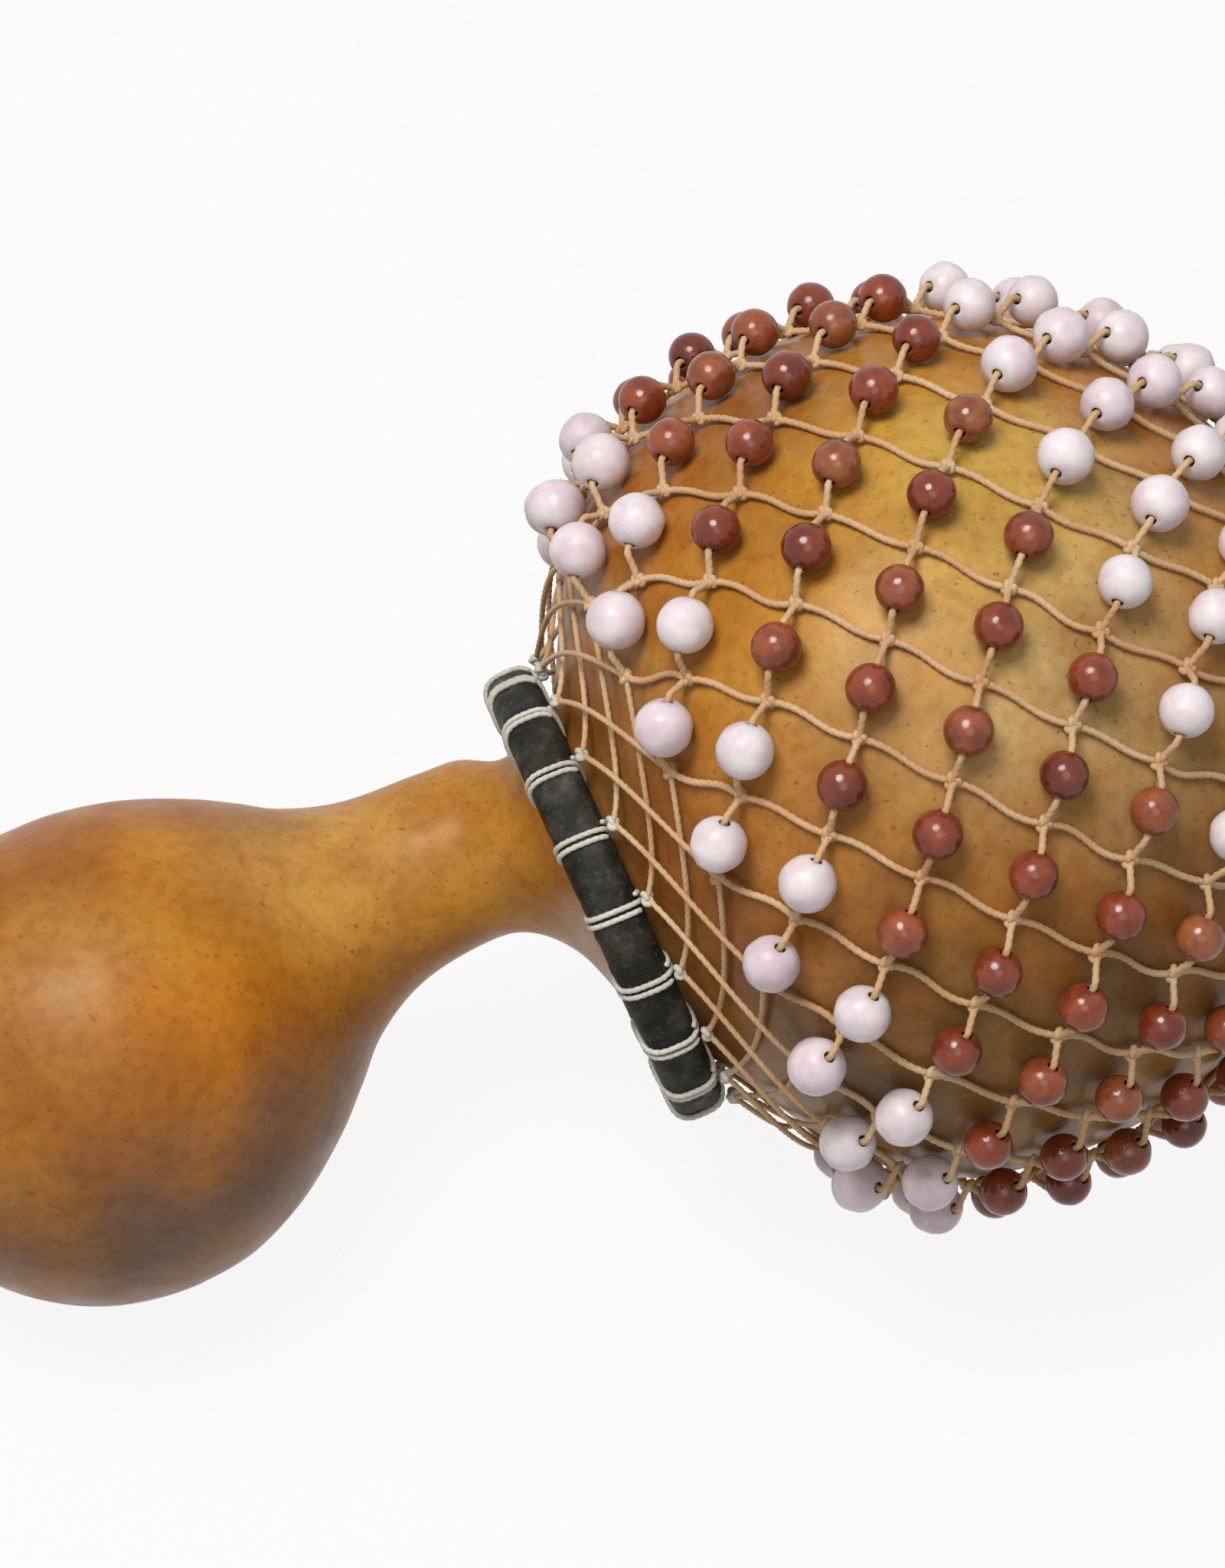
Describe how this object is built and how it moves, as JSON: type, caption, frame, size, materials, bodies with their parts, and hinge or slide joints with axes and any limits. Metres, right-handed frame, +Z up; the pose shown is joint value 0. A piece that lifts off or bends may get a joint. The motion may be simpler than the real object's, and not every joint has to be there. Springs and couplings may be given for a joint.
{
  "type": "shekere",
  "caption": "Dried gourd shaker with a round head and a bulb handle, its head wrapped in a turning net of cord and beads tied to a collar ring.",
  "frame": {"origin": "centre of the bounding box at its base, on the table that the rattle lies on", "axes": "+X runs from the handle bulb to the beaded head, level with the table, and +Z is up; the head's own axis rises 15.2 degrees from +X, because the head with its beads is thicker than the handle bulb"},
  "size_m": [0.2803, 0.171, 0.1717],
  "materials": {
    "gourd_skin": "varnished gourd, glossy, amber with fine dark speckle",
    "rope": "twisted rope, hidden",
    "black_rubber": "matte, mottled",
    "white_cord": "twisted cord",
    "net_cord": "waxed twisted cord",
    "white_bead": "glossy",
    "red_bead": "glossy"
  },
  "bodies": {
    "gourd": {"gourd_shell": "gourd_skin"},
    "net": {"bead_row_01": "white_bead", "bead_row_02": "white_bead", "bead_row_03": "red_bead", "bead_row_04": "red_bead", "bead_row_05": "red_bead", "bead_row_06": "red_bead", "bead_row_07": "red_bead", "bead_row_08": "white_bead", "bead_row_09": "white_bead", "bead_row_10": "white_bead", "bead_row_11": "white_bead", "net_course_01": "net_cord", "net_course_02": "net_cord", "net_course_03": "net_cord", "net_course_04": "net_cord", "net_course_05": "net_cord", "net_course_06": "net_cord", "net_course_07": "net_cord", "net_course_08": "net_cord", "net_course_09": "net_cord", "net_course_10": "net_cord", "net_course_11": "net_cord", "base_ring": "net_cord", "base_knot": "net_cord", "neck_strands_left": "net_cord", "neck_strands_right": "net_cord"},
    "collar": {"collar_core": "rope", "collar_sleeve": "black_rubber", "collar_hitches": "white_cord", "hitch_knots": "white_cord"}
  },
  "joints": [
    {"name": "net_turn", "type": "hinge", "parent": "gourd", "child": "net", "pos_m": [0.05653, 0.00006, 0.08604], "axis": [0.9651, 0, 0.2618], "continuous": true},
    {"name": "collar_slide", "type": "slide", "parent": "net", "child": "collar", "axis": [-0.9651, 0, -0.2618], "range_m": [0, 0.004], "deforming": ["neck_strands_left", "neck_strands_right"]}
  ]
}
